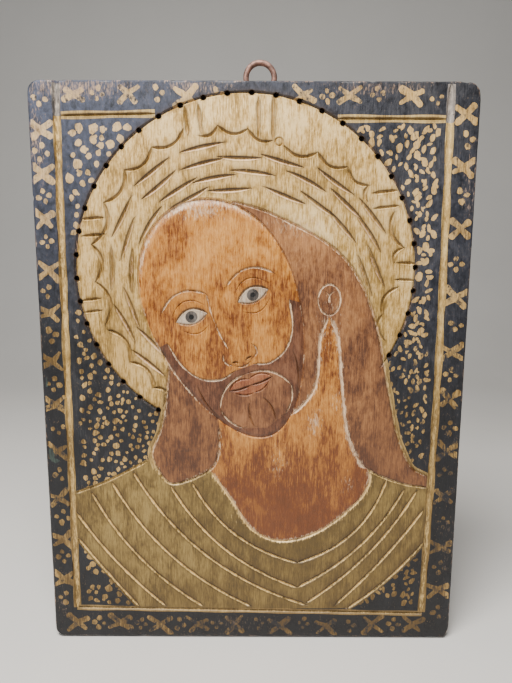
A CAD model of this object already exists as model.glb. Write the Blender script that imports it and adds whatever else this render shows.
"""The icon panel's looks: a carved and painted wooden board with a screw eye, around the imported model."""
import math
import random

import bmesh
import bpy
import numpy as np
from mathutils import Matrix, Vector
from mathutils.geometry import delaunay_2d_cdt

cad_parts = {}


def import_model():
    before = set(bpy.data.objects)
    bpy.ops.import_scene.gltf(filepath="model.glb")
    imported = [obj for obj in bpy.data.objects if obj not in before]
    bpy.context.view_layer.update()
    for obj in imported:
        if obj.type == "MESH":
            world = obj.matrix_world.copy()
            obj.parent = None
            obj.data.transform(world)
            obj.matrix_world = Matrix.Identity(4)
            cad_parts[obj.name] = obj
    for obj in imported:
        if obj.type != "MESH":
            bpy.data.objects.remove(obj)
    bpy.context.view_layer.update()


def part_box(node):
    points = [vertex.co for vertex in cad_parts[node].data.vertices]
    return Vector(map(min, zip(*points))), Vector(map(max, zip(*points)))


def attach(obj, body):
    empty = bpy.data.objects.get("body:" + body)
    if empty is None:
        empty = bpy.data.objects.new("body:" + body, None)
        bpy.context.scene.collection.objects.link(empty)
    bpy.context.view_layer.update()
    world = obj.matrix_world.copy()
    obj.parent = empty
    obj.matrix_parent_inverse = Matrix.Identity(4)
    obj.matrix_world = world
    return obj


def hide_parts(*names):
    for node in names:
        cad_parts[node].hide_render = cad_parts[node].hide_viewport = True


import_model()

MM = 0.001
PANEL_LOW, PANEL_HIGH = (np.array(corner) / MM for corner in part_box("panel"))
HALF_WIDTH = (PANEL_HIGH[0] - PANEL_LOW[0]) / 2
HALF_HEIGHT = (PANEL_HIGH[2] - PANEL_LOW[2]) / 2
THICK = PANEL_HIGH[1] - PANEL_LOW[1]
FRONT = PANEL_LOW[1]

# Carving sizes in millimetres, as in the part, with the worn mouths of the holes a little wider
LINE_WIDTH = 1.9
LINE_DEPTH = 1.0
BORDER_LINE_WIDTH = 1.4
FLUTE_WIDTH = 3.6
FLUTE_DEPTH = 1.3
STROKE_WIDTH = 1.9
STROKE_DEPTH = 1.0
FACE_WIDTH = 1.4
FACE_DEPTH = 0.8
FINE_WIDTH = 1.1
FINE_DEPTH = 0.6
HEAD_LINE_DEPTH = 1.2
EDGE_BEVEL = 3.2
HOLE_RADIUS = 1.35
HOLE_DEPTH = 3.4
HOLE_WALL = 0.16
HOLE_DIRT = 0.3
HOLE_PITCH = 12.0
STEP = 0.9
FACE_STEP = 0.6
LONG_STEP = 2.0
BORDER_STEP = 1.5

HALO = dict(x=-4, z=57, radius=87.3, start=-35, end=238, first_hole=-30)
HEAD = dict(x=-13, z=30, tall=65, wide=39, top=0.2, tilt=20)
EAR = dict(x=39.5, z=42.5, wide=5.8, tall=8)
KNOT = dict(x=12.5, z=121, radius=1.9)
CROWN = dict(x=-6, z=46, top=100, length=22, width=2.4, bow=0.03, lean_top=-4, lean_side=14)
CROWN_ROWS = [
    [(127, 75.3), (105.5, 74.7), (50, 73.1), (30.5, 76.9), (148, 71.9)],
    [(170, 68.2), (128, 68.2), (107, 66.9), (91, 67.3), (73, 68.7), (40.5, 69.3), (25, 71.2), (11.5, 70.4)],
    [(155, 64.3), (122, 60.6), (104, 58.5), (85, 60), (60, 64.5), (195, 63.5), (217, 62), (8, 64)],
    [(169, 57.5), (144, 57.5), (119, 54.5), (97, 52), (66, 53.5), (49, 59), (34, 61), (188, 58), (209, 54.5)],
]
THORN_HOLLOW = 0.22
THORN_CHAINS = [
    [(-35, 127), (-51, 118), (-65, 107), (-76, 91), (-83, 70), (-81.5, 51), (-77, 29)],
    [(-76, 26), (-65, 9), (-53, -5), (-45, -10)],
    [(9.5, 121.5), (-3, 127), (-18, 128.5), (-27, 123.5)],
    [(57.5, 92), (58, 100), (47, 109), (32, 116), (15, 119)],
    [(72, 62), (77, 69), (71.5, 87)],
    [(69, 21), (67.5, 35), (75, 49)],
]
CROSS_ARMS = [
    ((-31, 138), (-29.5, 124.5), 3.4),
    ((5.8, 142), (6, 122), 3.6),
    ((-88, 78.4), (-76, 79.4), 4.2),
    ((-88.5, 38.2), (-79, 39.4), 3.1),
    ((60.5, 92.4), (73, 93.8), 3.8),
    ((73.5, 57.2), (83, 56.8), 4.3),
]
FOLDS = [
    ((-33, -58), (25, -104.5), 0.115),
    ((25, -104.5), (73, -56), 0.135),
    ((-45, -59.5), (25, -119.5), 0.095),
    ((25, -119.5), (83, -61), 0.083),
    ((-65, -52), (30, -130), 0.1),
    ((31, -128.5), (90, -61.5), 0.062),
    ((-77, -57.5), (-1, -131), 0.083),
    ((47, -130), (94, -73), 0.028),
    ((-88, -64), (-28, -131), 0.07),
    ((-97, -75.5), (-49, -131), 0.037),
]
HEM_LEFT = ((-97, -90), (-64, -131.5), 0.01)
HEM_RIGHT = ((54, -132), (95, -92), 0.043)
NECKLINE = [(-23, -51), (-12, -67), (0, -85), (17, -91.5), (38, -85), (57, -69), (63.5, -58), (63, -50)]
HAIR_OUTSIDE = [
    (-11, 92), (10, 85.5), (40, 69.5), (55, 52), (65, 27), (72, -5), (78, -31), (86, -48), (95, -53.5),
]
NECK_LEFT = [(39, 33), (35.3, 22), (34, 0), (29, -11), (21, -19)]
NECK_RIGHT = [(40, 33), (44.5, 22), (47.5, -5), (51, -30), (58, -46), (62, -49)]
LOCK_EDGE = [
    (-44.5, 8), (-46, -8), (-49, -26), (-54.5, -42), (-48, -56), (-40, -58), (-24, -51), (-18.5, -42),
    (-18, -27),
]
SHOULDER_LEFT = [(-97, -64), (-80, -57.5), (-57, -45.5)]
SHOULDER_RIGHT = [(62, -49), (68, -53), (82, -58), (95, -60)]
LEFT_FLUTE = [(-97.5, 153), (-98.4, 20), (-98.8, -132)]
RIGHT_FLUTE = [(97, 148.5), (97.9, 0), (95.7, -134)]
TOP_LINES = [((-95.5, 133), (-49, 134)), ((41.5, 132), (95, 132))]
FOOT_LINE = [(-99, -132), (0, -133.5), (96, -135)]
RIM_POINTS = 420
EGG_POINTS = 180
KNOT_POINTS = 16
DISC_POINTS = 240

rng = random.Random(7)


# Curves in millimetres across (x) and up (z)

def resample(points, step=STEP):
    """Points along a line at even steps."""
    line = np.array(points, float)
    run = np.concatenate([[0], np.cumsum(np.linalg.norm(np.diff(line, axis=0), axis=1))])
    count = max(2, int(round(run[-1] / step)) + 1)
    where = np.linspace(0, run[-1], count)
    return np.column_stack([np.interp(where, run, line[:, k]) for k in (0, 1)])


def smooth(points, step=STEP):
    """A smooth line through points, with the same curve as three.js's spline."""
    line = np.array(points, float)
    ends = np.vstack([line[0], line, line[-1]])
    out = []
    for i in range(1, len(ends) - 2):
        p0, p1, p2, p3 = ends[i - 1:i + 3]
        v0, v1 = (p2 - p0) / 2, (p3 - p1) / 2
        t = np.linspace(0, 1, 24, endpoint=False)[:, None]
        bend = (2 * p1 - 2 * p2 + v0 + v1) * t ** 3 + (-3 * p1 + 3 * p2 - 2 * v0 - v1) * t ** 2
        out.append(bend + v0 * t + p1)
    return resample(np.vstack(out + [line[-1:]]), step)


def bowed(start, end, bow, step=STEP):
    """A curve that leaves its chord by a share of it, to the left of its way."""
    a, b = np.array(start, float), np.array(end, float)
    chord = b - a
    middle = (a + b) / 2 + np.array([-chord[1], chord[0]]) * 2 * bow
    t = np.linspace(0, 1, 40)[:, None]
    return resample((1 - t) ** 2 * a + 2 * t * (1 - t) * middle + t ** 2 * b, step)


def straight(start, end, step=STEP):
    return resample([start, end], step)


def ellipse(x, z, wide, tall, count, turn=0.0):
    angles = np.linspace(0, 2 * math.pi, count, endpoint=False)
    across, up = wide * np.cos(angles), tall * np.sin(angles)
    c, s = math.cos(turn), math.sin(turn)
    return np.column_stack([x + across * c - up * s, z + across * s + up * c])


def on_head(across, up):
    """A point of the head, given across and up from its middle."""
    tilt = math.radians(HEAD["tilt"])
    return (HEAD["x"] + across * math.cos(tilt) - up * math.sin(tilt),
            HEAD["z"] + across * math.sin(tilt) + up * math.cos(tilt))


def egg():
    """The head's outline and each point's share of the worn bevel."""
    turns = np.linspace(0, 2 * math.pi, EGG_POINTS, endpoint=False)
    wide = HEAD["wide"] * (1 + HEAD["top"] * np.sin(turns))
    points = [on_head(w * math.cos(t), HEAD["tall"] * math.sin(t)) for w, t in zip(wide, turns)]
    return np.array(points), 0.8 + 0.2 * np.sin(turns)


def left_of(points, closed=False):
    """Unit vectors to the left of a line's way."""
    if closed:
        way = np.roll(points, -1, axis=0) - np.roll(points, 1, axis=0)
    else:
        way = np.gradient(points, axis=0)
    way /= np.linalg.norm(way, axis=1)[:, None] + 1e-9
    return np.column_stack([-way[:, 1], way[:, 0]])


# Grooves: each is a line with its reach to both sides, its depth and the wear and dirt about it

grooves = []
TAPER_LENGTH = 2.5
END_SHARE = 0.25
POINT_SHARE = 0.12
# How far in millimetres wear and dirt reach from a groove's edge, or fade there
LIP = 0.6
LIP_FADE = 0.68
HAZE_REACH = 1.3
HAZE_START = 0.8
SHADE_REACH = 1.9
WALL_MARGIN = 0.12
WALL_FADE = 0.35
PALE_FADE = 0.3
# The most of the half width that is rubbed pale, and how fast that ends up the wall
PALE_WIDEST = 0.85
PALE_SLOPE = 0.7
DEEPEST_SHARE = 1.1
# Shares of the dirt that lie below a groove and on its wall
LOWER_LIP = 0.4
LOWER_SHADE = 0.45
WALL_DIRT = 0.9
MOST_PAIRS = 4000000


def groove(points, left, right, depth, closed=False, round_floor=False, worn=0.0, dark=0.0, haze=0.0,
           shade=0.0, pale_top=1.1, shares=None):
    """Keeps one groove: worn and haze are pale wear in it and beside it, dark and shade are dirt."""
    points = np.array(points, float)
    shares = np.ones(len(points)) if shares is None else np.array(shares, float)
    grooves.append(dict(points=points, left=left, right=right, depth=depth, closed=closed,
                        round_floor=round_floor, worn=np.full(len(points), worn), dark=dark, haze=haze,
                        shade=shade, pale_top=pale_top, shares=shares,
                        pale_reach=np.full(len(points), max(left, right))))


def tapered(points, width, depth, **how):
    """A line that comes up towards the surface at both ends."""
    run = np.concatenate([[0], np.cumsum(np.linalg.norm(np.diff(points, axis=0), axis=1))])
    from_end = np.minimum(run, run[-1] - run)
    shares = np.clip(END_SHARE + (1 - END_SHARE) * from_end / TAPER_LENGTH, 0, 1)
    wobble = 1 + 0.1 * np.sin(run * 0.31 + rng.uniform(0, 6)) + 0.06 * np.sin(run * 0.9 + rng.uniform(0, 6))
    groove(points, width / 2, width / 2, depth, shares=shares * wobble, **how)


def stroke(points, width, depth, **how):
    """A gouge stroke: widest in its middle and pointed at both ends."""
    shares = POINT_SHARE + (1 - POINT_SHARE) * np.sin(np.linspace(0, math.pi, len(points))) ** 0.7
    groove(points, width / 2, width / 2, depth, shares=shares, **how)


def carve_border():
    for line in (LEFT_FLUTE, RIGHT_FLUTE):
        tapered(smooth(line, LONG_STEP), FLUTE_WIDTH, FLUTE_DEPTH, round_floor=True, worn=0.62, dark=0.3)
    for start, end in TOP_LINES:
        tapered(straight(start, end, BORDER_STEP), BORDER_LINE_WIDTH, LINE_DEPTH, dark=0.9)
    tapered(smooth(FOOT_LINE, BORDER_STEP), LINE_WIDTH, LINE_DEPTH, worn=0.6, dark=0.5)


def on_halo(bearing):
    return HALO["x"] + HALO["radius"] * np.cos(bearing), HALO["z"] + HALO["radius"] * np.sin(bearing)


def carve_halo():
    bearings = np.radians(np.linspace(HALO["start"], HALO["end"], RIM_POINTS))
    tapered(np.column_stack(on_halo(bearings)), LINE_WIDTH, LINE_DEPTH, worn=0.4, dark=0.55, shade=0.3)
    for chain in THORN_CHAINS:
        for start, end in zip(chain, chain[1:]):
            hollow = bowed(start, end, THORN_HOLLOW)
            tapered(hollow, STROKE_WIDTH, STROKE_DEPTH, worn=0.25, dark=0.9, shade=0.36)
    knot = ellipse(KNOT["x"], KNOT["z"], KNOT["radius"], KNOT["radius"], KNOT_POINTS)
    groove(knot, FINE_WIDTH / 2, FINE_WIDTH / 2, FINE_DEPTH, closed=True, dark=0.6)
    for start, end, half in CROSS_ARMS:
        a, b = np.array(start, float), np.array(end, float)
        way = (b - a) / np.linalg.norm(b - a)
        side = np.array([-way[1], way[0]]) * half
        for sign in (-1, 1):
            arm = straight(a + sign * side, b + sign * side)
            tapered(arm, STROKE_WIDTH, STROKE_DEPTH, worn=0.3, dark=0.9, shade=0.3)


def carve_crown():
    """Gouge strokes in rows round the head, leaning more towards the sides."""
    for row in CROWN_ROWS:
        for bearing, distance in row:
            aside = min(abs(bearing - CROWN["top"]) / 100, 1)
            lean = CROWN["lean_top"] + (CROWN["lean_side"] - CROWN["lean_top"]) * aside
            way, turn = math.radians(bearing - 90 + lean), math.radians(bearing)
            middle = np.array([CROWN["x"] + distance * math.cos(turn),
                               CROWN["z"] + distance * math.sin(turn)])
            half = CROWN["length"] / 2 * np.array([math.cos(way), math.sin(way)])
            bow = rng.uniform(-CROWN["bow"], CROWN["bow"])
            stroke(bowed(middle - half, middle + half, bow), CROWN["width"], STROKE_DEPTH, worn=1.0, dark=1.0,
                   shade=0.42, pale_top=0.35)


CHEEK = [(34, 1), (31, -13), (24, -23), (14, -27), (5.5, -25)]


def cheek_line(sign):
    return smooth([on_head(sign * across, up) for across, up in CHEEK])


def face_curve(sign, start, end, bow):
    """A curve on one half of the face, or its mirror image where sign is -1."""
    return bowed(on_head(sign * start[0], start[1]), on_head(sign * end[0], end[1]), sign * bow, FACE_STEP)


# Kinds of cut in the face: how it is drawn, its width and its depth
LINE_CUT = (tapered, FACE_WIDTH, FACE_DEPTH)
SHORT_CUT = (stroke, FACE_WIDTH, FACE_DEPTH)
FINE_CUT = (stroke, FINE_WIDTH, FINE_DEPTH)
# Cuts of one half of the face: kind, start, end, bow, pale wear and dirt. The eye, the brow and the nose:
UPPER_CUTS = [
    (LINE_CUT, (8.5, 8.5), (25.5, 9.5), 0.27, 0.6, 0.8), (LINE_CUT, (8.5, 8.5), (25.5, 9.5), -0.2, 0.75, 0.4),
    (FINE_CUT, (8, 12.5), (26.5, 13), 0.3, 0.5, 0.2), (FINE_CUT, (9.5, 3), (24, 4.5), -0.24, 0.5, 0.2),
    (LINE_CUT, (5.5, 18), (31, 16.5), 0.24, 0.9, 0.5), (LINE_CUT, (8, -14.5), (5, -22), 0.32, 0.9, 0.4),
    (SHORT_CUT, (2.2, -21.3), (5.4, -20.5), 0.0, 0.0, 0.9),
]
# The moustache, the beard and the lips
LOWER_CUTS = [
    (LINE_CUT, (1.5, -28.5), (20, -42), 0.16, 0.9, 0.4), (LINE_CUT, (20, -42), (12, -56), 0.12, 0.9, 0.4),
    (FINE_CUT, (27, -26), (21, -48), 0.08, 0.25, 0.5), (LINE_CUT, (0, -31.8), (12, -34.5), 0.2, 0.4, 0.0),
    (LINE_CUT, (0, -35.2), (12, -34.5), -0.06, 0.0, 0.9),
    (LINE_CUT, (0, -39.4), (9.5, -36.2), -0.14, 0.4, 0.0), (FINE_CUT, (4, -44), (6, -57), 0.1, 0.25, 0.5),
]
# The nose's one side and its foot, which have no mirror image
SINGLE_CUTS = [
    (LINE_CUT, (-5.5, 18), (-4.8, -13), -0.05, 0.9, 0.3),
    (LINE_CUT, (-4.5, -22.5), (4.5, -22.5), -0.2, 0.9, 0.3),
]
# The head line's paler stretches, by bearing from the head's middle: the crest over the brow and the jaw
CREST = dict(bearing=2.0, reach=0.65)
JAW = dict(bearing=-2.35, reach=0.4)


def cut_face(cuts, sign):
    for (draw, width, depth), start, end, bow, worn, dark in cuts:
        draw(face_curve(sign, start, end, bow), width, depth, worn=worn, dark=dark)


def carve_face():
    head, shares = egg()
    groove(head, EDGE_BEVEL, LINE_WIDTH / 2, HEAD_LINE_DEPTH, closed=True, shares=shares)
    bearings = np.arctan2(head[:, 1] - HEAD["z"], head[:, 0] - HEAD["x"])
    crest, jaw = (np.exp(-((bearings - part["bearing"]) / part["reach"]) ** 2) for part in (CREST, JAW))
    grooves[-1]["worn"] = 0.45 + 0.3 * crest + 0.4 * jaw
    grooves[-1]["pale_reach"] = 0.7 + 2.9 * crest
    for sign in (-1, 1):
        cut_face(UPPER_CUTS, sign)
        tapered(cheek_line(sign), FACE_WIDTH, FACE_DEPTH, worn=1.0, dark=0.4)
        cut_face(LOWER_CUTS, sign)
    cut_face(SINGLE_CUTS, 1)
    x, z, wide, tall = EAR["x"], EAR["z"], EAR["wide"], EAR["tall"]
    groove(ellipse(x, z, wide, tall, 40), FACE_WIDTH / 2, FACE_WIDTH / 2, FACE_DEPTH, closed=True, worn=1.0)
    foot = (x, z - tall * 0.3)
    for start, end in (((x - wide * 0.5, z + tall * 0.6), foot), (foot, (x + wide * 0.5, z + tall * 0.6))):
        tapered(bowed(start, end, 0.2, FACE_STEP), FINE_WIDTH, FINE_DEPTH, worn=1.0)


def carve_figure():
    for line, worn, dark, haze, shade in (
        (NECKLINE, 1.0, 0.2, 0.68, 0), (HAIR_OUTSIDE, 0.7, 0.6, 0, 0.3), (NECK_LEFT, 1.0, 0.2, 0.6, 0),
        (NECK_RIGHT, 1.0, 0.2, 0.62, 0), (LOCK_EDGE, 0.7, 0.5, 0.48, 0), (SHOULDER_LEFT, 0.8, 0.5, 0, 0),
        (SHOULDER_RIGHT, 0.8, 0.5, 0, 0),
    ):
        tapered(smooth(line), LINE_WIDTH, LINE_DEPTH, worn=worn, dark=dark, haze=haze, shade=shade)
    for start, end, sag in FOLDS + [HEM_LEFT, HEM_RIGHT]:
        fold = bowed(start, end, -sag)
        tapered(fold, LINE_WIDTH, LINE_DEPTH, worn=1.0, dark=1.0, shade=0.42, pale_top=0.72)


def hole_places():
    """The middles of the rim's drilled holes."""
    pitch = math.degrees(HOLE_PITCH / HALO["radius"])
    count = int((HALO["end"] - HALO["first_hole"]) / pitch) + 1
    for i in range(count):
        yield on_halo(math.radians(HALO["first_hole"] + i * pitch))


holes = np.array(list(hole_places()))


# Knocked-off corners and nicks: places as shares of the half width and height, and each one's size
CHIP_SIZE = 5.0
CHIP_REACH = 0.75
CHIP_SLOPE = 0.8
CHIPS = [
    (-1, 1, 1), (1, 1, 1.15), (-0.86, 1, 0.35), (0.93, 1, 0.4), (0.52, 1, 0.3),
    (-1, 0.62, 0.3), (-1, -1, 0.8), (1, -0.985, 0.7), (-0.55, -1, 0.35), (0.4, -1, 0.3),
]
# Patches of the front, each with its place, its reach across and up, and its strength. Rubbed places:
SCUFFS = [
    (33, -24, 6, 10, 0.6), (44, -12, 3, 9, 0.56), (52, -58, 6, 10, 0.4), (-27, 88, 20, 8, 0.62),
    (14, -45, 9, 16, 0.38), (-10, -78, 7, 9, 0.36), (-88, 146, 40, 7, 0.66), (-30, 147, 24, 5, 0.58),
    (60, 146, 34, 5, 0.5),
    (-108, 120, 5, 34, 0.5), (40, 30, 14, 30, 0.34), (108, 100, 4, 40, 0.42), (24, 80, 26, 7, 0.5),
    (0, -150, 112, 3, 0.42), (-10, -141, 30, 7, 0.36), (-107, -130, 4, 16, 0.4), (108, -90, 3, 50, 0.36),
]
# Where stain and grime are deeper
TONES = [
    (10, -76, 42, 26, 0.9), (58, -52, 16, 16, 0.6), (25, -22, 14, 12, 0.25), (-34, -38, 14, 14, 0.3),
    (20, -142, 130, 13, 0.95), (-105, -80, 9, 90, 0.7), (104, -70, 12, 90, 0.6), (-70, 20, 10, 30, 0.3),
    (-40, -122, 12, 8, 0.6), (-106, 40, 7, 60, 0.3), (-84, -118, 15, 18, 0.6), (82, -118, 15, 18, 0.6),
    (66, 60, 8, 24, 0.25), (20, -118, 46, 12, 0.4), (58, -96, 46, 24, 0.4), (78, -20, 14, 40, 0.3),
]
# Where the paint has kept its brightness or catches the light
BRIGHT = [
    (-4, 134, 70, 16, 0.75), (-74, 96, 20, 30, 0.3), (66, 104, 22, 22, 0.4), (26, 74, 26, 16, 1.0),
    (88, 80, 14, 60, 1.0), (-24, 68, 24, 24, 0.6), (-78, -84, 22, 24, 0.25), (44, 48, 18, 22, 0.35),
]
# Where the gold dabs have worn thin
THIN = [
    (0, -142, 130, 9, 0.62), (106, -70, 9, 80, 0.65), (80, -15, 16, 50, 0.5), (-80, 143, 50, 8, 0.5),
    (40, 143, 60, 8, 0.42), (106, 60, 9, 80, 0.3), (-106, -40, 8, 90, 0.42), (-82, -20, 16, 40, 0.25),
]
# How far the black has faded from the upper left corner, across and down, and where else it has
FADE_ACROSS = 210
FADE_DOWN = 130
FADED = [(92, 80, 34, 70, 0.22)]


def chip_places():
    for across, up, share in CHIPS:
        yield across * HALF_WIDTH, up * HALF_HEIGHT, CHIP_SIZE * share


# The waves of hand-worn surfaces: how fast each runs across and up, its share of the seed and its height
WAVES = [(0.21, 0.13, 1, 1), (0.53, -0.47, 2.3, 1), (1.31, 1.17, 0.7, 0.6)]
WAVES_HEIGHT = 2.6


def uneven(x, z, seed, middle=1, swing=1):
    """A smooth random-looking value about a middle, for hand-worn edges."""
    waves = sum(high * np.sin(x * across + z * up + seed * share) for across, up, share, high in WAVES)
    return middle + swing * (waves / WAVES_HEIGHT)


def near_lots(g, points):
    """The numbers of the points in a groove's reach, in lots small enough to measure at once."""
    beside = 2 * (SHADE_REACH if g["shade"] else HAZE_REACH)
    reach = max(g["left"], g["right"]) * g["shares"].max() + beside
    low, high = g["points"].min(axis=0) - reach, g["points"].max(axis=0) + reach
    near = np.nonzero(((points >= low) & (points <= high)).all(axis=1))[0]
    return np.array_split(near, len(near) * len(g["points"]) // MOST_PAIRS + 1) if len(near) else []


def measured(g, points):
    """For each point: its gap from a groove's line, how far up it lies, and the groove's half width,
    share and nearest stretch there."""
    line, shares = g["points"], g["shares"]
    if g["closed"]:
        starts, ends, s0, s1 = line, np.roll(line, -1, axis=0), shares, np.roll(shares, -1)
    else:
        starts, ends, s0, s1 = line[:-1], line[1:], shares[:-1], shares[1:]
    way = ends - starts
    length2 = (way ** 2).sum(axis=1) + 1e-12
    rel = points[:, None, :] - starts[None, :, :]
    t = np.clip((rel * way).sum(axis=2) / length2, 0, 1)
    off = rel - t[:, :, None] * way
    gap2 = (off ** 2).sum(axis=2)
    best = gap2.argmin(axis=1)
    rows = np.arange(len(points))
    share = s0[best] + (s1[best] - s0[best]) * t[rows, best]
    side = way[best, 0] * rel[rows, best, 1] - way[best, 1] * rel[rows, best, 0]
    half = np.where(side > 0, g["left"], g["right"]) * share
    return np.sqrt(gap2[rows, best]), off[rows, best, 1], half, share, best


def fall(gap, reach):
    """A soft fall from one to nothing beyond a groove's edge."""
    return np.exp(-(np.clip(gap, 0, None) / reach) ** 2)


def groove_marks(g, points):
    """How deep a groove is at each point, and the shares of pale wear and of dirt that it brings there."""
    gap, up, half, share, best = measured(g, points)
    across, height = gap / half, up / half
    body = np.sqrt(np.clip(1 - across * across, 0, 1)) if g["round_floor"] else np.clip(1 - across, 0, 1)
    depth = body * g["depth"] * np.minimum(share, DEEPEST_SHARE)
    pale = np.clip((np.minimum(half * PALE_WIDEST, g["pale_reach"][best]) - gap) / PALE_FADE, 0, 1)
    pale *= np.clip((g["pale_top"] - height) / PALE_SLOPE, 0, 1) * uneven(*points.T, 5.0, 0.93, 0.22)
    worn = g["worn"][best] * pale
    if g["haze"]:
        haze = g["haze"] * fall(gap - half * HAZE_START, HAZE_REACH)
        worn = np.maximum(worn, haze * uneven(*points.T, 8.0, 0.8, 0.35))
    within = np.clip((half + WALL_MARGIN - gap) / WALL_FADE, 0, 1)
    upper = np.clip(0.5 + 0.9 * height, 0, 1)
    lip = np.clip(1 - np.abs(gap - half) / LIP_FADE, 0, 1) * (LOWER_LIP + (1 - LOWER_LIP) * upper)
    dark = g["dark"] * np.maximum(lip, WALL_DIRT * within * upper)
    if g["shade"]:
        above = np.clip(LOWER_SHADE + (1 - LOWER_SHADE) * up / (gap + 1e-6), 0, 1)
        dark = np.maximum(dark, g["shade"] * fall(gap - half, SHADE_REACH) * above)
    return depth, worn, dark


def spot(points, x, z, wide, tall):
    """A soft round or long patch, one in its middle."""
    return np.exp(-((points[:, 0] - x) / wide) ** 2 - ((points[:, 1] - z) / tall) ** 2)


def patches(points, places):
    """The sum of soft patches."""
    value = np.zeros(len(points))
    for *place, amount in places:
        value += amount * spot(points, *place)
    return np.clip(value, 0, 1)


def faded(points):
    across, down = points[:, 0] + HALF_WIDTH, HALF_HEIGHT - points[:, 1]
    from_corner = np.hypot(across / FADE_ACROSS, down / FADE_DOWN)
    return np.maximum(np.clip(1 - from_corner, 0, 1), patches(points, FADED))


def surface(points):
    """For points on the front: how deep the carving is, and the shares of pale wear and of dark."""
    depth, worn, dark = (np.zeros(len(points)) for _ in range(3))
    for g in grooves:
        for lot in near_lots(g, points):
            for total, mark in zip((depth, worn, dark), groove_marks(g, points[lot])):
                total[lot] = np.maximum(total[lot], mark)
    for hole in holes:
        gap = np.linalg.norm(points - hole, axis=1)
        depth = np.maximum(depth, np.clip((HOLE_RADIUS - gap) / HOLE_WALL, 0, 1) * HOLE_DEPTH)
        dark = np.maximum(dark, np.clip((HOLE_RADIUS + HOLE_DIRT - gap) / HOLE_DIRT, 0, 1))
    for x, z, size in chip_places():
        gap = np.hypot(points[:, 0] - x, points[:, 1] - z)
        chip = np.clip(size * CHIP_REACH - gap, 0, size) * CHIP_SLOPE
        depth = np.maximum(depth, chip)
        worn = np.maximum(worn, np.clip(chip * 2, 0, 0.8))
    for *place, amount in SCUFFS:
        worn = np.maximum(worn, amount * spot(points, *place))
    from_edge = np.minimum(HALF_WIDTH - np.abs(points[:, 0]), HALF_HEIGHT - np.abs(points[:, 1]))
    rubbed = np.clip((RUB_REACH - from_edge) / RUB_FADE, 0, 1) * uneven(*points.T, 2.2, 0.3, 0.35)
    return depth, np.maximum(worn, np.clip(rubbed, 0, 1)), dark


# The board's outline, worn in a little along its edges and at the corners

CORNERS = [(-1, -1, 3.0), (1, -1, 3.2), (1, 1, 3.8), (-1, 1, 3.2)]
CORNER_POINTS = 9
OUTLINE_STEP = 1.6
EDGE_WEAR = 0.09
RUB_REACH = 2.24
RUB_FADE = 1.6


def board_outline():
    """The front's outline, and at each of its points the way out of the board."""
    points = []
    for sx, sz, r in CORNERS:
        x, z = sx * (HALF_WIDTH - r), sz * (HALF_HEIGHT - r)
        first = math.atan2(sz, sx) - math.pi / 4
        for turn in first + np.linspace(0, math.pi / 2, CORNER_POINTS):
            points.append((x + r * math.cos(turn), z + r * math.sin(turn)))
    line = resample(points + points[:1], OUTLINE_STEP)[:-1]
    out = -left_of(line, closed=True)
    wear = EDGE_WEAR * uneven(*line.T, 1.7)
    for x, z, size in chip_places():
        wear += 0.3 * size * spot(line, x, z, 0.7 * size, 0.7 * size)
    return line - out * wear[:, None], out


EASE = 1.3
EASE_STEPS = 4
SIDE_ROWS = 10
DENT = 0.06
FRONT_WEAR = 3
BACK_WORN = 0.1
outline, outline_out = board_outline()
inner = outline - outline_out * EASE

# The screw eye: the middle of its ring, its wire and the seat in the board's top edge
EYE_LOW, EYE_HIGH = (np.array(corner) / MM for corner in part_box("hanging_eye"))
WIRE_RADIUS = (EYE_HIGH[1] - EYE_LOW[1]) / 2
RING_RADIUS = (EYE_HIGH[0] - EYE_LOW[0]) / 2 - WIRE_RADIUS
EYE_PLACE = (
    (EYE_LOW[0] + EYE_HIGH[0]) / 2, (EYE_LOW[1] + EYE_HIGH[1]) / 2, EYE_HIGH[2] - WIRE_RADIUS - RING_RADIUS,
)
SEAT_ROOM = 0.3
SEAT_WALL = 0.1
SEAT_HALF = WIRE_RADIUS + SEAT_ROOM
SEAT_RADIUS = RING_RADIUS + WIRE_RADIUS + SEAT_ROOM
SEAT_DOWN = THICK + EYE_PLACE[1]


def edge_rows():
    """Rows round the board from front to back: how far out from the front's rim and how far down."""
    quarter = np.linspace(0, math.pi / 2, EASE_STEPS + 1)[1:]
    for turn in quarter:
        yield EASE * math.sin(turn), EASE * (1 - math.cos(turn))
    seat = [SEAT_DOWN + side * (SEAT_HALF + wall) for side in (-1, 1) for wall in (0, SEAT_WALL)]
    for down in sorted(list(np.linspace(EASE, THICK - EASE, SIDE_ROWS)[1:]) + seat):
        yield EASE, down
    for turn in quarter:
        yield EASE * math.cos(turn), THICK - EASE * (1 - math.sin(turn))


def edge_place(x, z, front_low, direction, out, down):
    """Where a point of the board's edge lies, with dents, tool marks and the seat of the ring."""
    dented = EASE < down < THICK - EASE
    dent = DENT * uneven((x + z) * 0.7, down * 2.0, 9.0) if dented else 0.0
    x, z = x + direction[0] * (out - dent), z + direction[1] * (out - dent)
    aside = x - EYE_PLACE[0]
    if abs(down - SEAT_DOWN) <= SEAT_HALF + SEAT_WALL / 10 and abs(aside) < SEAT_RADIUS and z > 0:
        z = min(z, EYE_PLACE[2] - math.sqrt(SEAT_RADIUS ** 2 - aside ** 2))
    y = FRONT + max(down, front_low if down < THICK / 2 else down)
    return x, min(y, FRONT + THICK), z


# Painted areas, in the order they are laid on; each has its outline and its material

areas = []
EDGE_WOBBLE = 0.12


def area(points, slot):
    areas.append((np.array(points, float), SLOTS.index(slot)))


def strip(line, left, right, slot):
    """A painted band along a line."""
    side = left_of(line)
    wobble = 1 + EDGE_WOBBLE * np.sin(np.arange(len(line)) * 0.35)[:, None]
    area(np.vstack([line + side * left * wobble, (line - side * right * wobble)[::-1]]), slot)


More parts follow.
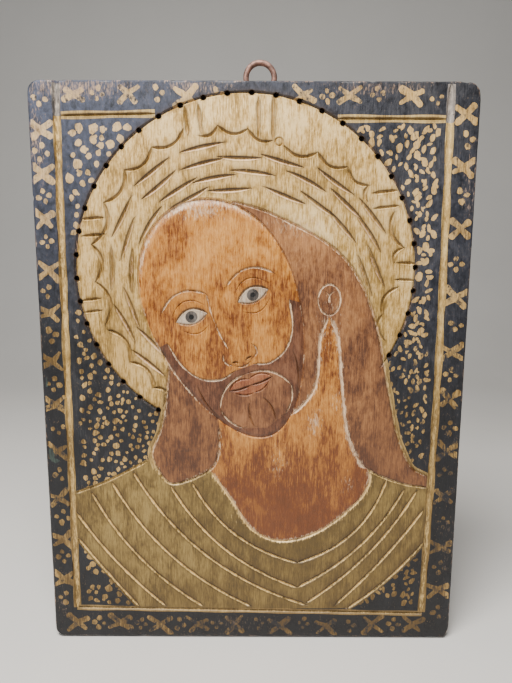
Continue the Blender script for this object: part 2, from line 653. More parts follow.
def blob(x, z, long, wide, turn, count=10):
    """A round brush dab with an uneven edge."""
    points = ellipse(0, 0, long / 2, wide / 2, count)
    points *= np.array([[rng.uniform(0.8, 1.16)] for _ in range(count)])
    c, s = math.cos(turn), math.sin(turn)
    area(points @ np.array([[c, s], [-s, c]]) + (x, z), "dabs_gold")


# Brush marks as shares of a motif's size, each a range to draw from
ARM = dict(long=(0.42, 0.58), thin=(0.1, 0.15), thick=(0.06, 0.17), bend=(0.0, 0.13))
PETAL = dict(out=(0.3, 0.38), long=(0.3, 0.42))
ARM_TURN = 0.2
PETAL_TURN = 0.25


def brush_arm(x, z, turn, length, thin, thick, bend):
    """One mark of a loaded brush: it leaves a point, bends, swells and ends round."""
    t = np.linspace(-0.12, 1, 7)
    along, aside = t * length, bend * np.sin(np.clip(t, 0, 1) * math.pi / 2) ** 2
    half = thin + (thick - thin) * np.clip(t, 0, 1) ** 1.3
    half *= np.array([rng.uniform(0.88, 1.12) for _ in t])
    tip = np.linspace(-math.pi / 2, math.pi / 2, 5)[1:-1]
    across = np.concatenate([aside - half, aside[-1] + thick * np.sin(tip), (aside + half)[::-1]])
    reach = np.concatenate([along, along[-1] + thick * 0.8 * np.cos(tip), along[::-1]])
    c, s = math.cos(turn), math.sin(turn)
    area(np.column_stack([x + reach * c - across * s, z + reach * s + across * c]), "dabs_gold")


def brush_cross(x, z, size, load=1.0):
    """An X of four brush marks, two bent to each side; a lighter load makes them thinner."""
    for k in range(4):
        turn = math.pi / 4 + k * math.pi / 2 + rng.uniform(-ARM_TURN, ARM_TURN)
        bend = (1 if k % 2 else -1) * size * rng.uniform(*ARM["bend"])
        long = size * rng.uniform(*ARM["long"])
        thin, thick = (load * size * rng.uniform(*ARM[part]) for part in ("thin", "thick"))
        brush_arm(x, z, turn, long, thin, thick, bend)


def flower(x, z, size):
    """Four round dabs in a diamond, one of them now and then missing."""
    start = math.pi / 2 + rng.uniform(-PETAL_TURN, PETAL_TURN)
    missing = rng.randrange(9)
    for k in range(4):
        turn = start + math.pi / 2 * k
        gap, long = (size * rng.uniform(*PETAL[part]) for part in ("out", "long"))
        if k != missing:
            blob(x + gap * math.cos(turn), z + gap * math.sin(turn), long, long * rng.uniform(0.8, 1), turn)


def inside(points, outline):
    """Which points lie inside a closed outline."""
    points, outline = np.atleast_2d(points), np.array(outline, float)
    x, z = points[:, 0], points[:, 1]
    found = np.zeros(len(points), bool)
    for (x0, z0), (x1, z1) in zip(outline, np.roll(outline, -1, axis=0)):
        if z0 == z1:
            continue
        crosses = (z0 > z) != (z1 > z)
        found ^= crosses & (x < (x1 - x0) * (z - z0) / (z1 - z0) + x0)
    return found


def halo_disc(grow=0.0):
    return ellipse(HALO["x"], HALO["z"], HALO["radius"] + grow, HALO["radius"] + grow, DISC_POINTS)


def hair_area():
    rear = [(52, -50), (44, -34), (20, -20), (-5, 40)]
    return np.vstack([smooth(HAIR_OUTSIDE), smooth(SHOULDER_RIGHT)[::-1], rear])


def chest_area():
    throat = [(-18.5, -42), (-18, -27), (-19, -18), (0, -12)]
    return np.vstack([smooth(NECK_RIGHT), smooth(NECKLINE)[::-1], throat, smooth(NECK_LEFT)[::-1]])


def lock_area():
    return np.vstack([smooth(LOCK_EDGE), [(-15, -5), (-25, 5)]])


def robe_area():
    return np.vstack([
        smooth(SHOULDER_LEFT), [(-50, -40), (-20, -40), (0, -60), (60, -50)], smooth(SHOULDER_RIGHT),
        [(95, -92)], bowed(*HEM_RIGHT[:2], -HEM_RIGHT[2])[::-1], [(-64, -132.5)],
        bowed(*HEM_LEFT[:2], -HEM_LEFT[2])[::-1],
    ])


BEARD_TOP = 2
CHIN_CURVES = [((1.5, -28.5), (20, -42), 0.16), ((20, -42), (12, -56), 0.12)]
LIP_CURVES = [((0, -31.8), (12, -34.5), 0.2), ((0, -39.4), (9.5, -36.2), -0.14)]
EYE_LIDS = [((8.5, 8.5), (25.5, 9.5), 0.27), ((8.5, 8.5), (25.5, 9.5), -0.2)]
EYE_MIDDLE = (17, 9.6)
IRIS = (3.2, 3.1)
PUPIL = 1.35


def beard_area():
    """The band of beard: below the cheek lines and the moustache, down to the head's outline."""
    points, _ = egg()
    tilt = math.radians(HEAD["tilt"])
    up = -(points[:, 0] - HEAD["x"]) * math.sin(tilt) + (points[:, 1] - HEAD["z"]) * math.cos(tilt)
    turns = np.linspace(0, 2 * math.pi, len(points), endpoint=False)
    lower = points[(up < BEARD_TOP) & (turns > math.pi / 2)]
    return np.vstack([cheek_line(-1), cheek_line(1)[::-1], lower[::-1]])


def chin_area():
    right, left = (np.vstack([face_curve(sign, *curve) for curve in CHIN_CURVES]) for sign in (1, -1))
    return np.vstack([right, [on_head(0, -60)], left[::-1]])


def lips_area():
    upper, lower = LIP_CURVES
    return np.vstack([face_curve(-1, *upper)[::-1], face_curve(1, *upper),
                      face_curve(1, *lower)[::-1], face_curve(-1, *lower)])


# The motifs of the border: at each side and each end, where its crosses and its flowers are
SIDE_MOTIFS = [
    (-105.5, (126, 105, 83, 57, 35, 9, -14, -40, -67, -91, -115),
     (141, 115.5, 94, 71.5, 46, 23, -3, -27, -53, -78, -101, -126)),
    (105, (134.5, 109, 79, 44, 15, -10, -39, -65, -95, -120),
     (122, 95, 61, 30, 3, -26, -52, -80, -107, -134)),
]
# The ends also have their crosses' size and how loaded the brush was
END_MOTIFS = [
    (143, 11.5, 1.0, (-89, -62, -33, 24, 47, 78), (-77, -48, -18, 36, 61, 90)),
    (-142, 14.0, 0.85, (-99, -75, -52, -31, -10, 16, 42, 68, 91), (-87, -63, -42, -20, 3, 29, 55, 80)),
]


def border_motifs():
    for x, crosses, flowers in SIDE_MOTIFS:
        for z in crosses:
            brush_cross(x + rng.uniform(-1, 1), z, rng.uniform(11, 13))
        for z in flowers:
            flower(x + rng.uniform(-1, 1), z, rng.uniform(7.5, 9.5))
    for z, size, load, crosses, flowers in END_MOTIFS:
        for x in crosses:
            brush_cross(x, z + rng.uniform(-1, 1), size + rng.uniform(-1, 1), load)
        for x in flowers:
            flower(x, z + rng.uniform(-1, 1), rng.uniform(7, 9))


GROUND_LOW = (-93, -129)
GROUND_HIGH = (92, 129)
DAB_TRIES = 9000
DAB_GAP = 0.22
TWIN_SHARE = 0.4


def dab_rule(x, z):
    """How large the ground's dabs are at a place, how much room each keeps and how narrow they are."""
    corner = z < -90
    if x < 0:
        size = 4.1 if z > 60 else 3.6 if corner else 2.9 if x < -70 else 2.4
        return size, 0.5, (0.8, 1)
    upper = z > 20
    return 3.6 if corner else 3.9 if upper else 3.0, 0.35 if upper else 0.4, (0.48, 0.78)


def ground_dabs():
    """Gold dabs on the black ground inside the border, kept off the figure and the lines."""
    dice = np.random.default_rng(11)
    tries = np.column_stack([dice.uniform(GROUND_LOW[k], GROUND_HIGH[k], DAB_TRIES) for k in (0, 1)])
    clear = np.ones(len(tries), bool)
    for shape in (halo_disc(2.0), robe_area(), hair_area(), lock_area()):
        clear &= ~inside(tries, shape)
    laid = np.zeros((0, 3))
    for x, z in tries[clear]:
        size, room, narrow = dab_rule(x, z)
        size *= rng.uniform(0.65, 1.25)
        gaps = np.hypot(laid[:, 0] - x, laid[:, 1] - z) - laid[:, 2]
        if len(laid) and gaps.min() < size * room + DAB_GAP:
            continue
        laid = np.vstack([laid, (x, z, size * room)])
        wide = size * rng.uniform(*narrow)
        blob(x, z, size * 1.05, wide, rng.gauss(1.3, 0.6), 9)
        if rng.random() < TWIN_SHARE:
            turn = rng.uniform(0, 2 * math.pi)
            aside = size * 0.42
            blob(x + aside * math.cos(turn), z + aside * math.sin(turn), size * 0.6, size * 0.45, turn, 7)


TEAL_STAINS = [(-109, -42, 7, 3.2), (-107, -45.5, 3, 4), (-109.5, -2, 5, 1.6)]
# Half widths of the painted bands, and where the flutes turn grey
FLUTE_BAND = 1.9
FOOT_BAND = 1.5
HEM_BAND = 1.3
SHOULDER_BAND = 1.1
FLUTE_CHANGES = (134, 131)
# Gold bands' widths on the two sides of their lines, and how far the hair's and the lock's bands run
TOP_BAND = (1.9, 1.7)
HAIR_BAND = (1.9, 0)
HAIR_BAND_TOP = 12
LOCK_BAND = (0, 2.2)
LOCK_BAND_RIGHT = -44
LOCK_BAND_TOP = -4
LOCK_BAND_FOOT = -50


def lay_paint():
    """Lays every painted area, the ground first and the eyes last."""
    border_motifs()
    ground_dabs()
    for x, z, tall, wide in TEAL_STAINS:
        shape = ellipse(x, z, wide / 2, tall / 2, 12)
        ragged = np.array([[rng.uniform(-0.5, 0.5), rng.uniform(-0.5, 0.5)] for _ in shape])
        area(shape + ragged, "teal_stain")
    for start, end in TOP_LINES:
        strip(straight(start, end, LONG_STEP), *TOP_BAND, "line_gold")
    for points, change in zip((LEFT_FLUTE, RIGHT_FLUTE), FLUTE_CHANGES):
        line = smooth(points, LONG_STEP)
        strip(line[line[:, 1] > change - 1], FLUTE_BAND, FLUTE_BAND, "flute_grey")
        strip(line[line[:, 1] <= change], FLUTE_BAND, FLUTE_BAND, "line_gold")
    strip(smooth(FOOT_LINE, LONG_STEP), FOOT_BAND, FOOT_BAND, "line_gold")
    area(halo_disc(), "halo_gold")
    area(robe_area(), "robe_gold")
    for start, end, sag in (HEM_LEFT, HEM_RIGHT):
        strip(bowed(start, end, -sag, LONG_STEP), HEM_BAND, HEM_BAND, "robe_gold")
    strip(smooth(SHOULDER_LEFT, LONG_STEP), SHOULDER_BAND, SHOULDER_BAND, "robe_gold")
    outside = smooth(HAIR_OUTSIDE)
    strip(outside[outside[:, 1] < HAIR_BAND_TOP], *HAIR_BAND, "line_gold")
    area(hair_area(), "hair_brown")
    lock = smooth(LOCK_EDGE)
    x, z = lock.T
    strip(lock[(x < LOCK_BAND_RIGHT) & (z < LOCK_BAND_TOP) & (z > LOCK_BAND_FOOT)], *LOCK_BAND, "line_gold")
    area(lock_area(), "hair_brown")
    area(chest_area(), "skin_stain")
    area(egg()[0], "skin_stain")
    area(beard_area(), "beard_brown")
    area(chin_area(), "chin_brown")
    area(lips_area(), "lip_red")
    for sign in (-1, 1):
        upper, lower = (face_curve(sign, *lid) for lid in EYE_LIDS)
        area(np.vstack([upper, lower[::-1]]), "eye_white")
        x, z = on_head(sign * EYE_MIDDLE[0], EYE_MIDDLE[1])
        area(ellipse(x, z, *IRIS, 22, math.radians(HEAD["tilt"])), "iris_grey")
        area(ellipse(x, z, PUPIL, PUPIL, 12), "pupil_black")


def nearest_slot(points):
    """The painted area that each point lies in: the last one laid over it."""
    slot = np.zeros(len(points), int)
    for shape, index in areas:
        low, high = shape.min(axis=0), shape.max(axis=0)
        near = np.nonzero(((points >= low) & (points <= high)).all(axis=1))[0]
        if len(near):
            hit = near[inside(points[near], shape)]
            slot[hit] = index
    return slot


# The front's mesh: rows of points along every groove and painted edge, joined by a constrained triangulation

FILL_STEP = 2.6
FILL_JITTER = 0.8
FILL_START = 3
FILL_END = 2
MERGE_GAP = 0.02


def front_points():
    points, edges = [], []

    def add(line, closed=False):
        base = len(points)
        points.extend(map(tuple, line))
        edges.extend((base + i, base + i + 1) for i in range(len(line) - 1))
        if closed:
            edges.append((base + len(line) - 1, base))

    add(inner, closed=True)
    for g in grooves:
        side = left_of(g["points"], g["closed"])
        rows = [(0, 0), (0.5, 0), (1, 0), (1, LIP), (-0.5, 0), (-1, 0), (-1, -LIP)]
        for amount, reach in ((g["haze"], HAZE_REACH), (g["shade"], SHADE_REACH)):
            rows += [(1, reach), (-1, -reach)] if amount else []
        for share, beyond in rows:
            reach = (g["left"] if share > 0 else g["right"]) * share * g["shares"] + beyond
            add(g["points"] + side * reach[:, None], g["closed"])
    for hole in holes:
        for radius in (HOLE_RADIUS, HOLE_RADIUS - HOLE_WALL):
            add(ellipse(*hole, radius, radius, 14), closed=True)
        add([hole])
    for shape, _ in areas:
        add(shape, closed=True)
    spread = random.Random(3)
    for x in np.arange(-HALF_WIDTH + FILL_START, HALF_WIDTH - FILL_END, FILL_STEP):
        for z in np.arange(-HALF_HEIGHT + FILL_START, HALF_HEIGHT - FILL_END, FILL_STEP):
            add([[middle + spread.uniform(-FILL_JITTER, FILL_JITTER) for middle in (x, z)]])
    return points, edges


def front_mesh():
    """The front's points, its triangles and each triangle's painted area."""
    points, edges = front_points()
    made = delaunay_2d_cdt([Vector(p) for p in points], edges, [], 0, MERGE_GAP, False)
    verts = np.array([tuple(v) for v in made[0]])
    faces = np.array([f for f in made[2] if len(f) == 3])
    middles = verts[faces].mean(axis=1)
    keep = inside(middles, inner)
    faces, middles = faces[keep], middles[keep]
    flat = verts[faces]
    turn = ((flat[:, 1, 0] - flat[:, 0, 0]) * (flat[:, 2, 1] - flat[:, 0, 1])
            - (flat[:, 1, 1] - flat[:, 0, 1]) * (flat[:, 2, 0] - flat[:, 0, 0]))
    faces[turn < 0] = faces[turn < 0][:, ::-1]
    return verts, faces, nearest_slot(middles)


def undulation(points):
    """The board's slight unevenness from the plane, always below the front."""
    return uneven(points[:, 0] * 0.4, points[:, 1] * 0.12, 4.1, 0.07, 0.06)


def placed(name, data):
    made = bpy.data.objects.new(name, data)
    bpy.context.scene.collection.objects.link(made)
    return made


def finished_piece(mesh, name, smooth_below):
    """Shades a mesh, smooth where it turns by less than an angle, and makes it a visible piece."""
    mesh.polygons.foreach_set("use_smooth", np.ones(len(mesh.polygons), bool))
    mesh.set_sharp_from_angle(angle=math.radians(smooth_below))
    return placed(name, mesh)


def close_board(bm):
    """Takes the front's rim out over the eased edge, down the sides and round to the back."""
    raw, black = SLOTS.index("raw_wood"), SLOTS.index("black_paint")
    edges = [e for e in bm.edges if e.is_boundary]
    worn_layer = bm.verts.layers.float["worn"]
    start, way_out, origin = {}, {}, {}
    for v in {v for e in edges for v in e.verts}:
        gap = ((inner - np.array([v.co.x, v.co.z]) / MM) ** 2).sum(axis=1)
        start[v.index], way_out[v.index], origin[v] = v.co.copy(), outline_out[gap.argmin()], v.index
    for out, down in edge_rows():
        made = bmesh.ops.extrude_edge_only(bm, edges=edges)["geom"]
        verts = [g for g in made if isinstance(g, bmesh.types.BMVert)]
        edges = [g for g in made if isinstance(g, bmesh.types.BMEdge) and g.is_boundary]
        linked = {}
        for v in verts:
            for e in v.link_edges:
                other = e.other_vert(v)
                if other in origin:
                    linked[v] = origin[other]
        for v in verts:
            base, direction = start[linked[v]], way_out[linked[v]]
            place = edge_place(base.x / MM, base.z / MM, base.y / MM - FRONT, direction, out, down)
            v.co = Vector(place) * MM
            front = down < FRONT_WEAR
            v[worn_layer] = uneven(v.co.x / MM, v.co.z / MM, 3.0, 0.35, 0.3) if front else BACK_WORN
        origin = linked
        for f in made:
            if isinstance(f, bmesh.types.BMFace):
                f.material_index = black if down <= EASE * 1.01 else raw
    bm.normal_update()
    for f in bmesh.ops.triangle_fill(bm, use_beauty=False, use_dissolve=False, edges=edges)["geom"]:
        if isinstance(f, bmesh.types.BMFace):
            f.material_index = raw


def build_panel():
    verts, faces, slots = front_mesh()
    used = np.unique(faces)
    index = -np.ones(len(verts), int)
    index[used] = np.arange(len(used))
    verts, faces = verts[used], index[faces]
    depth, worn, dark = surface(verts)
    places = np.column_stack([verts[:, 0], FRONT + (depth + undulation(verts)), verts[:, 1]])

    mesh = bpy.data.meshes.new("carved_panel")
    mesh.from_pydata((places * MM).tolist(), [], faces.tolist())
    mesh.polygons.foreach_set("material_index", slots.astype(np.int32))
    layers = dict(worn=worn, dark=dark, tone=patches(verts, TONES), bright=patches(verts, BRIGHT),
                  faded=faded(verts), thin=patches(verts, THIN))
    for name, values in layers.items():
        mesh.attributes.new(name, "FLOAT", "POINT").data.foreach_set("value", values.astype(np.float32))

    bm = bmesh.new()
    bm.from_mesh(mesh)
    close_board(bm)
    bmesh.ops.recalc_face_normals(bm, faces=bm.faces[:])
    bm.to_mesh(mesh)
    bm.free()
    for name, how in PAINTS.items():
        mesh.materials.append(painted(name, **how))
    piece = finished_piece(mesh, "carved_panel", smooth_below=28)
    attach(piece, "root")
    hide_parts("panel")


# Materials

class Paint:
    """A new material, and short calls for its nodes."""

    def __init__(self, name):
        self.made = bpy.data.materials.new(name)
        self.made.use_nodes = True
        self.tree = self.made.node_tree
        self.place = self.add("TexCoord", {}).outputs["Object"]

    def feed(self, node, inputs):
        """Gives a node's inputs a number, a colour or a link from another node."""
        for key, value in inputs.items():
            socket = node.inputs[key]
            if isinstance(value, bpy.types.NodeSocket):
                self.tree.links.new(value, socket)
            else:
                socket.default_value = (*value, 1.0) if socket.type == "RGBA" else value

    def add(self, kind, inputs, **settings):
        node = self.tree.nodes.new("ShaderNode" + kind)
        for name, value in settings.items():
            setattr(node, name, value)
        self.feed(node, inputs)
        return node

    def noise(self, scales, detail, rough, distort=0.0, offset=(0, 0, 0)):
        mapping = self.add("Mapping", {"Vector": self.place, "Scale": scales, "Location": offset})
        return self.add("TexNoise", {
            "Vector": mapping.outputs["Vector"], "Scale": 1.0, "Detail": detail, "Roughness": rough,
            "Distortion": distort,
        }).outputs["Fac"]

    def ramp(self, value, stops, to=(0, 1)):
        """Takes a value from between two stops to between two others."""
        numbers = dict(zip(("From Min", "From Max", "To Min", "To Max"), (*stops, *to)))
        return self.add("MapRange", {"Value": value, **numbers}).outputs["Result"]

    def colours(self, value, stops):
        """A scale of colours, with a place for each."""
        node = self.add("ValToRGB", {"Fac": value})
        elements = node.color_ramp.elements
        for element, (place, tint) in zip(elements, (stops[0], stops[-1])):
            element.position, element.color = place, (*tint, 1)
        for place, tint in stops[1:-1]:
            elements.new(place).color = (*tint, 1)
        return node.outputs["Color"]

    def mix(self, factor, first, second):
        return self.add("Mix", {0: factor, 6: first, 7: second}, data_type="RGBA").outputs[2]

    def math(self, kind, first, second):
        return self.add("Math", {0: first, 1: second}, operation=kind, use_clamp=True).outputs[0]

    def times(self, first, second):
        return self.math("MULTIPLY", first, second)

    def blend(self, *parts):
        """The sum of values, each times its share."""
        total = self.times(*parts[0])
        for part in parts[1:]:
            total = self.math("ADD", total, self.times(*part))
        return total

    def attribute(self, name):
        return self.add("Attribute", {}, attribute_name=name).outputs["Fac"]

    def finished(self, colour, metal, rough, height, depth):
        """Dresses the material's shader and gives the material."""
        bump = self.add("Bump", {"Height": height, "Strength": BUMP, "Distance": depth})
        self.feed(self.tree.nodes["Principled BSDF"], {
            "Base Color": colour, "Metallic": metal, "Roughness": rough, "Normal": bump.outputs["Normal"],
        })
        return self.made


WOOD_PALE = (0.5, 0.36, 0.22)
PINK_WEAR = (0.6, 0.4, 0.28)
CREAM_WEAR = (0.74, 0.55, 0.37)
BRIGHT_GOLD = (0.9, 0.63, 0.26)
DIRT = (0.035, 0.018, 0.008)
GRIME = (0.034, 0.016, 0.005)
BARE_BLACK = (0.018, 0.018, 0.022)
NEUTRAL_DARK = (0.02, 0.02, 0.02)
BEARD_UNDER = (0.32, 0.14, 0.06)
# How dark the deepest streaks and the thinnest wear are, as shares of their colours
DEEPEST = 0.62
THIN_WEAR = 0.22
TONE_STRENGTH = 0.6
BRIGHT_STRENGTH = 0.3
BUMP = 0.5
PAINT_DEPTH = 0.0005
RUST_DEPTH = 0.0002


def painted(name, tints, under, rough=0.5, metal=0.0, contrast=1.0, chips=0.4, wear=CREAM_WEAR,
            dark_tone=DIRT, fade=None, streaks=0.45, stain_scale=(95, 95, 48), thins=False):
    """Paint or stain on grained wood: streaks along the grain, worn-through patches, pale and dark cuts."""
    main, light, deep = tints
    n = Paint(name)
    fine = n.noise((1900, 900, 210), 5, 0.7, 0.3)
    long = n.noise((640, 400, 34), 4, 0.65, 0.5, (3, 1, 0))
    mottle = n.noise((380, 380, 240), 5, 0.7, 0.3, (0, 7, 2))
    cloud = n.noise((60, 60, 34), 3, 0.5, 0.2, (9, 7, 2))
    grit = n.noise((1700, 1700, 900), 2, 0.6, 0.0, (5, 5, 5))
    stains = n.ramp(n.noise(stain_scale, 4, 0.6, 0.6, (6, 3, 1)), (0.38, 0.62))
    hair = n.noise((1500, 500, 130), 4, 0.65, 0.0, (1, 8, 3))
    hairlines = n.ramp(hair, (0.36, 0.64))
    scratches = n.ramp(n.noise((1200, 900, 330), 5, 0.7, 0.0, (2, 2, 8)), (0.36, 0.64))
    spread = 0.14 / contrast
    mixed = n.blend((fine, 0.42), (long, 0.2), (mottle, 0.24), (cloud, 0.14))
    mixed = n.ramp(mixed, (0.5 - spread, 0.5 + spread))
    value = n.blend((mixed, 0.7), (stains, 0.34), (hairlines, 0.6 * streaks))
    value = n.math("SUBTRACT", value, 0.02 + 0.3 * streaks)
    value = n.times(value, n.math("SUBTRACT", 1.0, n.times(n.attribute("tone"), TONE_STRENGTH)))
    value = n.math("ADD", value, n.times(n.attribute("bright"), BRIGHT_STRENGTH))
    deepest = tuple(DEEPEST * c for c in deep)
    colour = n.colours(value, ((0.0, deepest), (0.28, deep), (0.55, main), (1.0, light)))
    if fade:
        colour = n.mix(n.times(n.attribute("faded"), n.ramp(mottle, (0.3, 0.6))), colour, fade)
    if thins:
        thinned = n.math("ADD", mottle, n.times(n.attribute("thin"), 0.3))
        colour = n.mix(n.ramp(thinned, (0.6, 0.74)), colour, BARE_BLACK)
    through = n.times(n.ramp(grit, (0.6, 0.68)), n.ramp(mottle, (0.5, 0.66)))
    colour = n.mix(n.times(through, chips), colour, under)
    colour = n.mix(n.times(n.attribute("dark"), n.ramp(mottle, (0.15, 0.42))), colour, dark_tone)
    rubbed = n.blend((scratches, 0.4), (n.attribute("worn"), 0.66))
    pale = n.mix(n.attribute("thin"), wear, tuple(THIN_WEAR * c for c in wear))
    colour = n.mix(n.ramp(rubbed, (0.5, 0.84)), colour, pale)
    roughness = n.ramp(mottle, (0.35, 0.65), (rough - 0.12, rough + 0.15))
    return n.finished(colour, metal, roughness, n.blend((hair, 0.6), (grit, 0.4)), PAINT_DEPTH)


# The paints and stains, in the order of the board's materials. Tints are the main, the light and the deep one
PAINTS = {
    "black_paint": dict(
        tints=((0.011, 0.012, 0.016), (0.045, 0.044, 0.048), (0.006, 0.006, 0.008)), under=(0.24, 0.16, 0.09),
        chips=0.55, wear=PINK_WEAR, fade=(0.062, 0.075, 0.126)),
    "dabs_gold": dict(
        tints=((0.46, 0.285, 0.09), (0.72, 0.48, 0.19), (0.13, 0.074, 0.02)), under=(0.03, 0.028, 0.025),
        metal=0.1, contrast=1.1, chips=0.9, wear=PINK_WEAR, dark_tone=GRIME, fade=(0.7, 0.5, 0.28),
        thins=True),
    "halo_gold": dict(
        tints=((0.63, 0.395, 0.125), (1.0, 0.725, 0.34), (0.38, 0.228, 0.06)), under=(0.26, 0.15, 0.05),
        rough=0.42, metal=0.2, contrast=1.8, chips=0.7, wear=(0.74, 0.48, 0.31), dark_tone=GRIME,
        streaks=0.85),
    "robe_gold": dict(
        tints=((0.25, 0.163, 0.046), (0.41, 0.288, 0.096), (0.13, 0.08, 0.021)), under=(0.1, 0.055, 0.015),
        rough=0.44, metal=0.15, contrast=1.3, chips=0.6, wear=BRIGHT_GOLD, dark_tone=GRIME),
    "hair_brown": dict(
        tints=((0.21, 0.084, 0.03), (0.42, 0.19, 0.068), (0.095, 0.035, 0.015)), under=(0.38, 0.17, 0.07),
        rough=0.46, contrast=1.15, chips=0.5),
    "skin_stain": dict(
        tints=((0.43, 0.165, 0.026), (0.7, 0.33, 0.08), (0.165, 0.047, 0.01)), under=(0.2, 0.06, 0.012),
        rough=0.38, contrast=1.15),
    "beard_brown": dict(
        tints=((0.15, 0.057, 0.026), (0.25, 0.108, 0.05), (0.075, 0.026, 0.012)), under=BEARD_UNDER,
        rough=0.45, contrast=1.15),
    "chin_brown": dict(
        tints=((0.24, 0.098, 0.038), (0.38, 0.17, 0.07), (0.13, 0.048, 0.02)), under=BEARD_UNDER,
        rough=0.45, contrast=1.15),
    "line_gold": dict(
        tints=((0.46, 0.3, 0.1), (0.7, 0.51, 0.21), (0.25, 0.155, 0.048)), under=(0.05, 0.04, 0.03),
        rough=0.48, metal=0.1, contrast=1.1, chips=0.7, wear=BRIGHT_GOLD, dark_tone=GRIME),
    "eye_white": dict(
        tints=((0.54, 0.43, 0.32), (0.68, 0.58, 0.46), (0.36, 0.24, 0.15)), under=(0.3, 0.15, 0.07),
        contrast=0.8),
    "iris_grey": dict(
        tints=((0.1, 0.085, 0.075), (0.19, 0.17, 0.16), (0.035, 0.03, 0.028)), under=NEUTRAL_DARK,
        rough=0.45, contrast=0.8),
    "pupil_black": dict(
        tints=((0.012, 0.011, 0.012), (0.025, 0.022, 0.022), (0.006, 0.006, 0.006)), under=NEUTRAL_DARK,
        rough=0.4, contrast=0.8, chips=0.2),
    "lip_red": dict(
        tints=((0.3, 0.105, 0.042), (0.42, 0.18, 0.085), (0.18, 0.052, 0.022)), under=(0.3, 0.14, 0.07),
        rough=0.45, contrast=0.9),
    "raw_wood": dict(
        tints=((0.17, 0.12, 0.08), (0.3, 0.22, 0.15), (0.07, 0.05, 0.035)), under=(0.35, 0.26, 0.17),
        rough=0.7, chips=0.5, wear=WOOD_PALE, stain_scale=(170, 90, 6)),
    "flute_grey": dict(
        tints=((0.22, 0.19, 0.17), (0.4, 0.36, 0.33), (0.08, 0.075, 0.075)), under=(0.04, 0.035, 0.03),
        contrast=1.1, chips=0.6, wear=(0.62, 0.54, 0.45)),
    "teal_stain": dict(
        tints=((0.05, 0.075, 0.06), (0.12, 0.17, 0.13), (0.015, 0.02, 0.02)), under=NEUTRAL_DARK,
        chips=0.9, wear=PINK_WEAR),
}
SLOTS = list(PAINTS)


def iron():
    n = Paint("rusty_iron")
    rust = n.noise((420, 420, 420), 6, 0.65)
    pits = n.noise((1600, 1600, 1600), 3, 0.6, 0.0, (4, 4, 4))
    colour = n.mix(n.ramp(rust, (0.4, 0.62)), (0.13, 0.075, 0.06), (0.34, 0.19, 0.15))
    colour = n.mix(n.ramp(pits, (0.62, 0.75)), colour, (0.03, 0.015, 0.01))
    return n.finished(colour, 0.55, n.ramp(rust, (0, 1), (0.4, 0.75)), n.math("ADD", rust, pits), RUST_DEPTH)


def plain(name, colour, rough):
    n = Paint(name)
    cloud = n.ramp(n.noise((6, 6, 6), 3, 0.5), (0.3, 0.7))
    clouded = n.mix(cloud, colour, tuple(c * 0.96 for c in colour))
    n.feed(n.tree.nodes["Principled BSDF"], {"Base Color": clouded, "Roughness": rough})
    return n.made


# The screw eye: one bent wire, its shank in the board and its loop above

EYE_SIDES = 20
LOOP_STEPS = 60
LOOP_START_DEG = -78
LOOP_END_DEG = 246
SHANK_POINT = 4
SHANK_STEPS = 8
POINT_RADIUS = 0.25
CUT_END = 0.82
PIT = 0.03


def screw_eye():
    x, y, centre = EYE_PLACE
    foot = EYE_LOW[2]
    path = [(0.0, foot + 0.3), (0.0, foot + SHANK_POINT)]
    path += [(0.0, z) for z in np.linspace(foot + SHANK_POINT + 2, centre - RING_RADIUS - 1.2, SHANK_STEPS)]
    turns = np.radians(np.linspace(LOOP_START_DEG, LOOP_END_DEG, LOOP_STEPS))
    path += [(RING_RADIUS * math.cos(t), centre + RING_RADIUS * math.sin(t)) for t in turns]
    line = np.array(path)
    widths = np.full(len(line), WIRE_RADIUS)
    widths[0] = POINT_RADIUS
    widths[-1] = WIRE_RADIUS * CUT_END
    verts, faces = [], []
    way = np.gradient(line, axis=0)
    way /= np.linalg.norm(way, axis=1)[:, None]
    for i, (point, w, d) in enumerate(zip(line, widths, way)):
        for k in range(EYE_SIDES):
            turn = 2 * math.pi * k / EYE_SIDES
            pitted = 1 - PIT - PIT * math.sin(i * 1.7 + k * 2.1) * math.sin(i * 0.6 + k)
            across, fore = math.cos(turn) * w * pitted, math.sin(turn) * w * pitted
            verts.append((x + point[0] + d[1] * across, y + fore, point[1] - d[0] * across))
    for i in range(len(line) - 1):
        for k in range(EYE_SIDES):
            a, b = i * EYE_SIDES + k, i * EYE_SIDES + (k + 1) % EYE_SIDES
            faces.append((a, b, b + EYE_SIDES, a + EYE_SIDES))
    faces.append(tuple(range(EYE_SIDES))[::-1])
    faces.append(tuple((len(line) - 1) * EYE_SIDES + k for k in range(EYE_SIDES)))
    mesh = bpy.data.meshes.new("screw_eye")
    mesh.from_pydata((np.array(verts) * MM).tolist(), [], faces)
    bm = bmesh.new()
    bm.from_mesh(mesh)
    bmesh.ops.recalc_face_normals(bm, faces=bm.faces[:])
    bm.to_mesh(mesh)
    bm.free()
    mesh.materials.append(iron())
    piece = finished_piece(mesh, "screw_eye", smooth_below=50)
    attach(piece, "root")
    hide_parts("hanging_eye")


# The stage: floor, backdrop, light and camera

FLOOR_GAP = 0.0005
FLOOR_REACH = 6.0
BACKDROP = dict(away=1.1, bend=0.5, top=1.8)


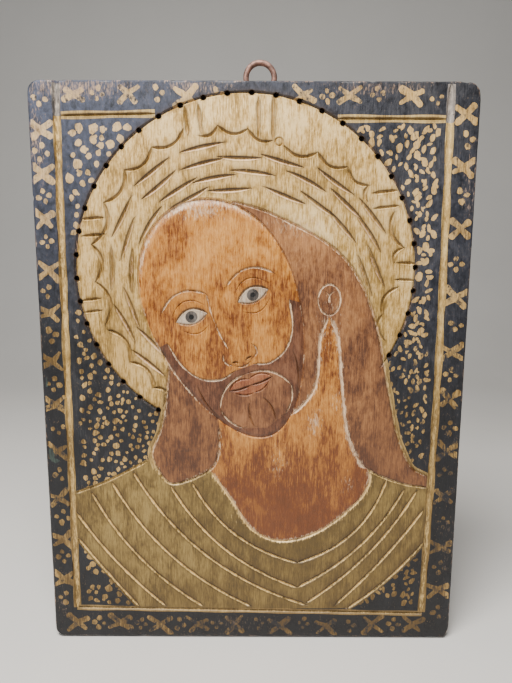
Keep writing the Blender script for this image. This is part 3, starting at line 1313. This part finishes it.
def stage():
    """A pale floor that bends up into the backdrop behind the board."""
    level = PANEL_LOW[2] * MM - FLOOR_GAP
    away, bend = BACKDROP["away"], BACKDROP["bend"]
    profile = [(-FLOOR_REACH, 0.0), (away - bend, 0.0)]
    for t in np.linspace(0.1, math.pi / 2, 14):
        profile.append((away - bend + bend * math.sin(t), bend - bend * math.cos(t)))
    profile.append((away, BACKDROP["top"]))
    verts = [(x, y, level + z) for y, z in profile for x in (-FLOOR_REACH, FLOOR_REACH)]
    faces = [(2 * i, 2 * i + 1, 2 * i + 3, 2 * i + 2) for i in range(len(profile) - 1)]
    mesh = bpy.data.meshes.new("floor")
    mesh.from_pydata(verts, [], faces)
    mesh.polygons.foreach_set("use_smooth", np.ones(len(mesh.polygons), bool))
    mesh.materials.append(plain("studio_floor", (0.72, 0.71, 0.69), 0.8))
    floor = placed("floor", mesh)


def soft_light(name, place, target, size, power, colour):
    data = bpy.data.lights.new(name, "AREA")
    data.shape = "RECTANGLE"
    data.size, data.size_y = size
    data.energy = power
    data.color = colour
    lamp = placed(name, data)
    lamp.location = place
    lamp.rotation_euler = (Vector(target) - Vector(place)).to_track_quat("-Z", "Y").to_euler()


CAMERA_PLACE = (1.47, -298.3, 61.7)
CAMERA_DOWN_DEG = 8.37
CAMERA_ROLL_DEG = 0.249
FOCAL_PIXELS = 540
FRAME_TALL = 683
SENSOR = 36


def camera():
    data = bpy.data.cameras.new("camera")
    data.sensor_fit = "AUTO"
    data.sensor_width = SENSOR
    data.lens = FOCAL_PIXELS / FRAME_TALL * SENSOR
    data.clip_start = 0.01
    view = placed("camera", data)
    view.location = Vector(CAMERA_PLACE) * MM
    level = Matrix.Rotation(math.radians(90 - CAMERA_DOWN_DEG), 4, "X")
    roll = Matrix.Rotation(math.radians(CAMERA_ROLL_DEG), 4, "Z")
    view.rotation_euler = (level @ roll).to_euler()
    bpy.context.scene.camera = view


def world():
    made = bpy.data.worlds.new("studio")
    made.use_nodes = True
    background = made.node_tree.nodes["Background"]
    background.inputs["Color"].default_value = (0.9, 0.92, 0.95, 1)
    background.inputs["Strength"].default_value = 0.12
    bpy.context.scene.world = made


camera()
carve_border()
carve_halo()
carve_crown()
carve_face()
carve_figure()
lay_paint()
build_panel()
screw_eye()
stage()
world()
soft_light("key", place=(-0.12, -0.34, 0.66), target=(0, -0.02, 0.02), size=(0.42, 0.26), power=13,
           colour=(1, 0.955, 0.89))
soft_light("sheen", place=(-0.6, -1.0, 0.55), target=(-0.05, 0, 0.1), size=(0.5, 0.5), power=4,
           colour=(0.92, 0.96, 1))
